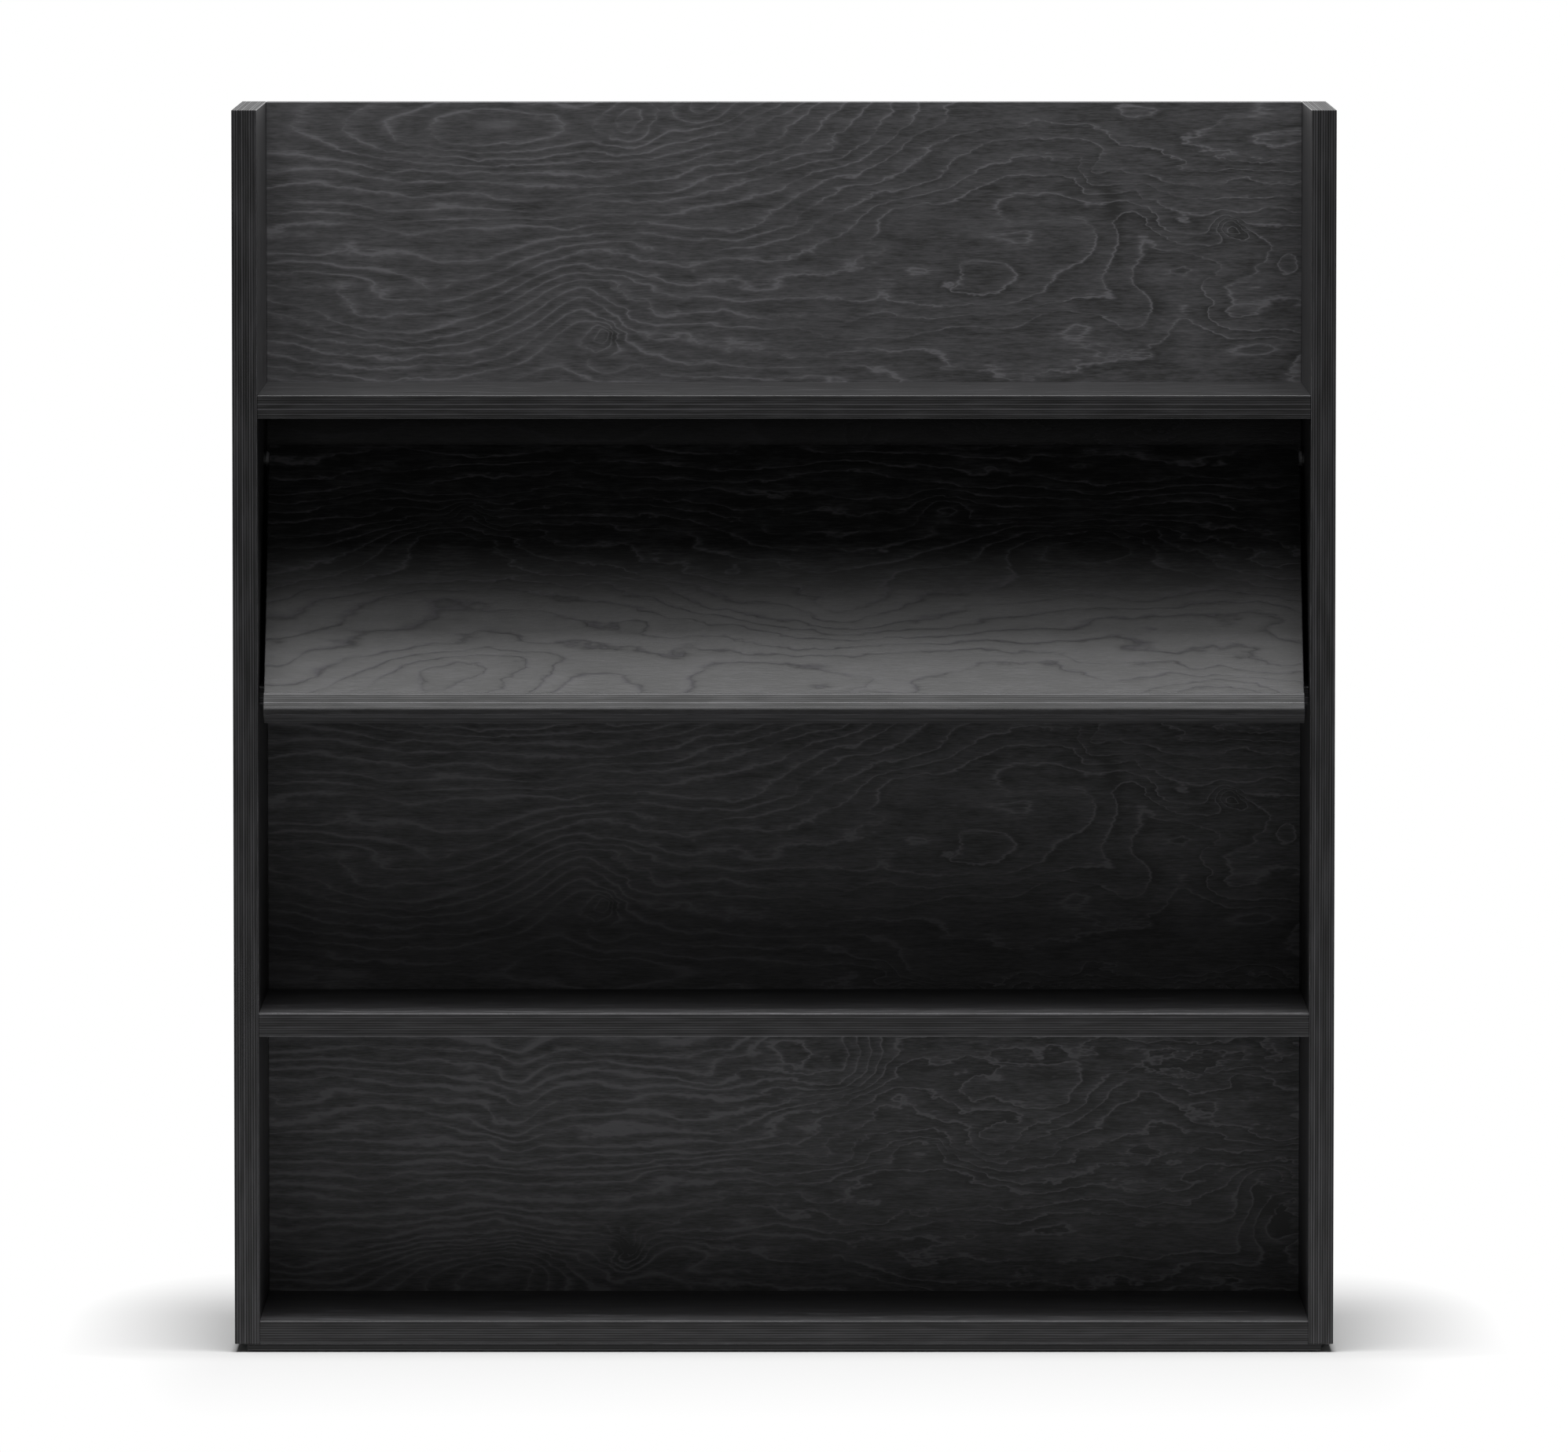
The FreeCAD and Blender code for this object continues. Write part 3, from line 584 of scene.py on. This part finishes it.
print("hills on the back:", len(back_hills), "knots:", len(back_knots))

# %% [markdown]
# A sheet of veneer is calm near one end and wild near the other. Here the lines wander more in the
# right half, and they do so most in the lowest compartment, where the figure is also boldest.

# %% Dress the back panel
wander_begins, bolder_begins = (-0.14, 0.15), (0.05, 0.20)
lowest_ends, top_begins = (0.30, 0.34), (0.55, 0.85)
lowest_wander, upper_wander = 2.2, 1.1
lowest_boldness, upper_boldness = 1.8, 1.2
calmer_at_top, bolder_at_right = 0.2, 0.3


def back_wander(along, height):
    """How far the lines wander, at a place along and a height above the floor."""
    wildness = height.rise(*lowest_ends, lowest_wander, upper_wander)
    return 1 + along.rise(*wander_begins) * wildness


def back_boldness(along, height):
    """How bold the figure is, at a place along and a height above the floor."""
    boldness = height.rise(*lowest_ends, lowest_boldness, upper_boldness)
    boldness = boldness - height.rise(*top_begins, 0, calmer_at_top)
    return boldness + along.rise(*bolder_begins, 0, bolder_at_right)


# Its larger share of the face's tones is partly painted light: the whole back is painted paler
plywood("back_panel", "XZY", back_slope, back_hills, back_wander, 3.0, stacked_sheets, back_knots,
        vivid=back_boldness, line_reach=0.0013, face_share=1.6, gloss_ior=1.35)

# %% [markdown]
# ## Sides, shelves and base
#
# The grain of the sides runs up, and that of the shelves runs from side to side, each along the
# longer way of its board, because a board is stiffest along its grain. Little of their faces shows,
# so even rings do, and their spacing and seed set the figures apart. Their shares of the tones
# differ
# too, and are painted light and shade: the lower shelf and the bottom panel are painted paler, and
# the top shelf darker, for how the light falls on them.

# %% Dress the other boards of the carcass
# The shares of the face's tones below paint light and shade: lower shelf and bottom paler, top
# shelf darker
carcass_boards = [
    # name, axes, metres between two rings, wander, seed, changes to the common look
    ("side_panel_left", "ZYX", 0.026, 1.6, 7.1, {"face_share": 0.9}),
    ("side_panel_right", "ZYX", 0.028, 1.6, 12.9, {"face_share": 0.9}),
    ("top_shelf", "XYZ", 0.021, 1.3, 19.3, {"face_share": 0.5}),
    ("display_shelf", "XYZ", 0.024, 1.3, 23.7, {}),
    ("lower_shelf", "XYZ", 0.019, 1.3, 29.2,
     {"face_share": 1.7, "edge_share": 0.8, "ply_variety": 0.5}),
    ("bottom_panel", "XYZ", 0.023, 1.3, 31.6,
     {"face_share": 1.3, "edge_share": 0.7, "ply_variety": 0.5}),
    ("base_plate", "XYZ", 0.025, 1.3, 37.4, {"edge_share": 0.2}),
]
for board, order, spacing, wander, seed, changes in carcass_boards:
    plywood(board, order, even_slope(spacing), (), wander, seed, **changes)

# %% [markdown]
# ## The flap and its lip
#
# The flap leans back on its pins by 36 degrees, and its grain runs from side to side. Its finish is
# laid out on the upright board, so the lengths below are measured from the middle of the pins: the
# panel is 16 mm thick, and the lip is 18 mm high and stands 8 mm proud of it. The panel faces the
# lamps, where its rings show as fine dark lines because they shine less than the rest.

# %% Where the flap's boards lie
pivot = tuple(frame["joints"][0]["pos_m"])
flap_lean = math.radians(36)
flap_sides = tuple(corner.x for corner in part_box("flap_panel"))
flap_foot, flap_head, lip_head = -0.2785, 0.0095, -0.2605
panel_front, panel_back, lip_front = -0.008, 0.008, -0.016

panel_reach = [flap_sides, (panel_front, panel_back), (flap_foot, flap_head)]
lip_reach = [flap_sides, (lip_front, panel_front), (flap_foot, lip_head)]
print("flap turns about", pivot)

# %% [markdown]
# The loops of the flap lie in two broad swells, at the left and the right, with smaller hills in
# them. They are listed like those of the back, from the upper end at 0 down to the lip.

# %% Dress the flap
flap_tones = ((0.013, 0.0131, 0.0133), (0.102, 0.100, 0.107))
flap_hills = [
    (-0.283, -0.060, 0.016, 0.014, 2.5),
    (-0.312, -0.092, 0.060, 0.024, 3.0),
    (-0.280, -0.150, 0.150, 0.075, 3.5),
    (0.340, -0.150, 0.120, 0.060, 2.6),
    (-0.120, -0.075, 0.120, 0.030, 1.8),
    (0.143, -0.062, 0.022, 0.020, 2.2),
    (0.255, -0.097, 0.090, 0.024, 3.6),
    (0.330, -0.150, 0.070, 0.030, -2.0),
    (0.060, -0.160, 0.050, 0.030, -1.6),
    (-0.050, -0.215, 0.120, 0.030, 1.8),
    (0.210, -0.230, 0.080, 0.024, 1.8),
    (-0.300, -0.235, 0.070, 0.022, 2.2),
    (-0.160, -0.262, 0.060, 0.020, -2.0),
    (0.380, -0.255, 0.060, 0.022, 2.4),
]
plywood("flap_panel", "XZY", even_slope(0.017), flap_hills, 1.6, 43.5,
        turned={"lean": flap_lean, "pivot": pivot, "reach": panel_reach},
        vivid=1.3, ground=0.18, tones=flap_tones, line_reach=0.0009, face_share=1.0,
        satin=0.385, line_roughness=0.42)
plywood("flap_lip", "XYZ", even_slope(0.030), (), 1.2, 47.8,
        turned={"lean": flap_lean, "pivot": pivot, "reach": lip_reach}, ply_gloss=0.5)

# %% [markdown]
# ## Dowels
#
# The dowels are turned from raw beech, which is pale brown with fine fibres and short dark rays.
# They sit inside the boards and show only when the shelf is taken apart, so one finish serves all.

# %% Dress the dowels
beech_fibre = (0.006, 0.0004, 0.0004)
beech_ray = (0.0012, 0.0003, 0.0003)
pale_beech, dark_beech, ray_brown = (0.66, 0.46, 0.28), (0.52, 0.34, 0.19), (0.30, 0.17, 0.08)

beech = Finish("raw_beech")
beech_place = beech.place()
fibre = beech.cloud(beech_place, beech_fibre, 1.0, 3)
ray_marks = beech.cloud(beech_place, beech_ray, 4.0, 1).rise(0.12, 0.2)
wood = beech.blend(fibre + 0.5, pale_beech, dark_beech)
wood = beech.blend(ray_marks * 0.5, wood, ray_brown)
dress(["shelf_dowels", "back_dowels", "lip_dowels"],
      beech.shade(wood, 0.6 + fibre * 0.2, fibre, 0.0001))

# %% [markdown]
# ## Metal fittings
#
# The cams, bolts and pins are zinc plated, which gives them a fine crystalline bloom, and the
# screws are blackened by an oxide. Both finishes are the same graph with other tones: a bloom and
# a broader wear that make the colour and the roughness uneven.

# %% Dress the metal fittings
bloom_patch = (0.0008, 0.0008, 0.0008)
wear_patch = (0.006, 0.006, 0.006)


def metal(name, dark, pale, roughness, metallic):
    """A plated or blackened metal, between a dark and a pale tone."""
    finish = Finish(name)
    place = finish.place()
    bloom = finish.cloud(place, bloom_patch, 2.0, 4, 0.6)
    wear = finish.cloud(place, wear_patch, 6.0, 2)
    colour = finish.blend(bloom + wear + 0.5, dark, pale)
    return finish.shade(colour, roughness + bloom * 0.25, bloom, 0.00002, {"Metallic": metallic})


dress(["cam_bolts", "cam_housings", "pivot_pin_left", "pivot_pin_right"],
      metal("zinc_plate", (0.42, 0.42, 0.44), (0.66, 0.66, 0.67), 0.32, 1.0))
dress(["back_screws", "base_screws"],
      metal("black_oxide", (0.02, 0.02, 0.02), (0.06, 0.06, 0.062), 0.42, 0.6))

# %% [markdown]
# ## Nylon, felt and rubber
#
# The pins turn in black nylon bushes, with grey nylon collars between the boards. The shelf stands
# on discs of pressed felt, and the flap lands on pads of soft rubber. All have a fine even grain,
# from the mould or from the fibres, and differ in its size and depth.

# %% Dress the nylon, felt and rubber
grains_in_patch = 12
dark_share = 0.6


def grained(name, colour, roughness, grain, depth, constants):
    """A material with an even grain of that size and depth, and broad soft patches."""
    finish = Finish(name)
    place = finish.place()
    texture = finish.cloud(place, [grain] * 3, 3.0, 3, 0.6)
    patches = finish.cloud(place, [grain * grains_in_patch] * 3, 8.0, 2)
    darker = tuple(value * dark_share for value in colour)
    varied = finish.blend(texture * 0.8 + patches + 0.5, darker, colour)
    return finish.shade(varied, roughness + texture * 0.15, texture, depth, constants)


grained_pieces = [
    # pieces, finish, colour, roughness, metres of grain, its depth, constants
    (["pivot_collar_left", "pivot_collar_right"],
     "grey_nylon", (0.26, 0.26, 0.27), 0.5, 0.0006, 0.00003, {}),
    (["pivot_socket_left", "pivot_socket_right"],
     "black_nylon", (0.024, 0.024, 0.025), 0.45, 0.0006, 0.00003, {}),
    (["floor_glides"],
     "pressed_felt", (0.05, 0.05, 0.05), 0.95, 0.0004, 0.0002, {"Sheen Weight": 0.4}),
    (["flap_bumpers"],
     "soft_rubber", (0.05, 0.05, 0.052), 0.7, 0.0005, 0.00003, {}),
]
for pieces, *values in grained_pieces:
    dress(pieces, grained(*values))
print("finishes:", len(bpy.data.materials))

# %% [markdown]
# ## Floor
#
# The object stands on a pale studio floor. Near its feet the floor is a real matt surface that
# takes a soft shadow, and further out the camera sees plain white, as in a catalogue cut-out. The
# change depends on the distance from the object, never on the camera, so it holds from every side.
# It is short beside the shelf and long in front of it.

# %% Make the floor
floor_radius = 1.4
floor_segments = 96

floor_mesh = bmesh.new()
bmesh.ops.create_circle(floor_mesh, cap_ends=True, segments=floor_segments, radius=floor_radius)
floor_data = bpy.data.meshes.new("studio_floor")
floor_mesh.to_mesh(floor_data)
floor_mesh.free()
floor = bpy.data.objects.new("studio_floor", floor_data)
bpy.context.scene.collection.objects.link(floor)
print("floor radius:", floor_radius)

# %% [markdown]
# The floor's paint is a matt grey-white with a fine grain. A second shader, plain white light that
# only the camera and mirrors see, takes over from it with the distance, and lights nothing else. It
# takes over by a quick step close to the object, a wider one in front, and slowly beyond.

# %% Paint the floor
half_width, front_depth, back_depth = 0.495, 0.12, 0.13
side_change, front_change, back_change = 0.16, 0.90, 0.38
quick_width, quick_share = 0.03, 0.2
front_width, front_share = 0.08, 0.38
slow_share = 0.8
paint_grain = (0.004, 0.004, 0.004)
dark_paint, pale_paint = (0.79, 0.79, 0.79), (0.81, 0.81, 0.81)

paint = Finish("floor_paint")
spot = paint.place()
lengths = paint.outputs("ShaderNodeSeparateXYZ", spot)
beside = (lengths["X"].size() - half_width).at_least(0)
before = (lengths["Y"] * -1 - front_depth).at_least(0)
behind = (lengths["Y"] - back_depth).at_least(0)
away = ((beside * (1 / side_change)) ** 2 + (before * (1 / front_change)) ** 2
        + (behind * (1 / back_change)) ** 2) ** 0.5
far = (away.rise(0, quick_width, 0, quick_share)
       + before.rise(0, front_width, 0, front_share) + away * slow_share)
grain = paint.cloud(spot, paint_grain, 1.0, 2)
paint.shade(paint.blend(grain + 0.5, dark_paint, pale_paint), 0.9, grain, 0.0001)

rays = paint.outputs("ShaderNodeLightPath")
seen = (rays["Is Camera Ray"] + rays["Is Glossy Ray"] + rays["Is Transmission Ray"]).at_most(1)
matt = Socket(paint, paint.shader.outputs[0])
white = paint.node("ShaderNodeEmission", {}, {"Color": (1, 1, 1, 1), "Strength": 1})
mixed = paint.node("ShaderNodeMixShader", {}, [far * seen, matt, white])
paint.feed(paint.tree.nodes["Material Output"].inputs["Surface"], mixed)
floor.data.materials.append(paint.material)

# %% [markdown]
# ## Light
#
# The picture is lit from above by a large soft box that hangs a little in front of the shelf: it
# leaves the space under each board black, and slides down the leaning flap. Two weaker boxes hang
# further forward, a wide one far in front lights the upright faces, and a faint one near the floor
# lifts what faces down. Their strengths were found by comparing the tone of each board with the
# photo; one even light from all sides would be easier, but it would flatten the compartments.

# %% Hang the lamps
lamps = [
    # name, where it hangs, what it aims at, its width and height, watts
    ("overhead_box", (0, -0.45, 3.4), (0, -0.45, 0), (2.8, 0.6), 96),
    ("forward_box", (0, -1.05, 3.4), (0, -1.05, 0), (2.8, 0.6), 19),
    ("distant_box", (0, -1.85, 3.4), (0, -1.85, 0), (2.8, 1.0), 15),
    ("low_box", (0, -1.10, 0.05), (0, -0.2, 0.60), (2.6, 0.6), 0.5),
    ("front_box", (0, -4.5, 1.4), (0, -0.1, 0.6), (3.0, 1.2), 9.6),
]
for name, place, aim, size, watts in lamps:
    lamp = bpy.data.objects.new(name, bpy.data.lights.new(name, "AREA"))
    bpy.context.scene.collection.objects.link(lamp)
    lamp.location = place
    lamp.rotation_euler = (math.atan2(aim[1] - place[1], place[2] - aim[2]), 0, 0)
    lamp.data.shape = "RECTANGLE"
    lamp.data.size, lamp.data.size_y = size
    lamp.data.energy = watts
    lamp.visible_camera = False
    print(name, watts, "W")

# %% [markdown]
# ## The room
#
# The room itself is dark, so the lamps alone make the light. The camera sees white all round, and
# a mirroring surface sees white behind the object, as it would with a white backdrop. A lit white
# room would be simpler, but it would fill the shadows under the boards.

# %% Paint the room
world = bpy.context.scene.world or bpy.data.worlds.new("studio")
bpy.context.scene.world = world
world.use_nodes = True

room = Graph(world.node_tree)
rays = room.outputs("ShaderNodeLightPath")
bearing = room.node("ShaderNodeTexCoord", {}, {}, "Generated")
rear = room.outputs("ShaderNodeSeparateXYZ", bearing)["Y"].rise(-0.1, 0.3)
mirrored = (rays["Is Glossy Ray"] + rays["Is Transmission Ray"]) * rear
background = room.tree.nodes["Background"]
background.inputs["Color"].default_value = (1, 1, 1, 1)
room.feed(background.inputs["Strength"], mirrored.at_least(rays["Is Camera Ray"]).at_most(1))
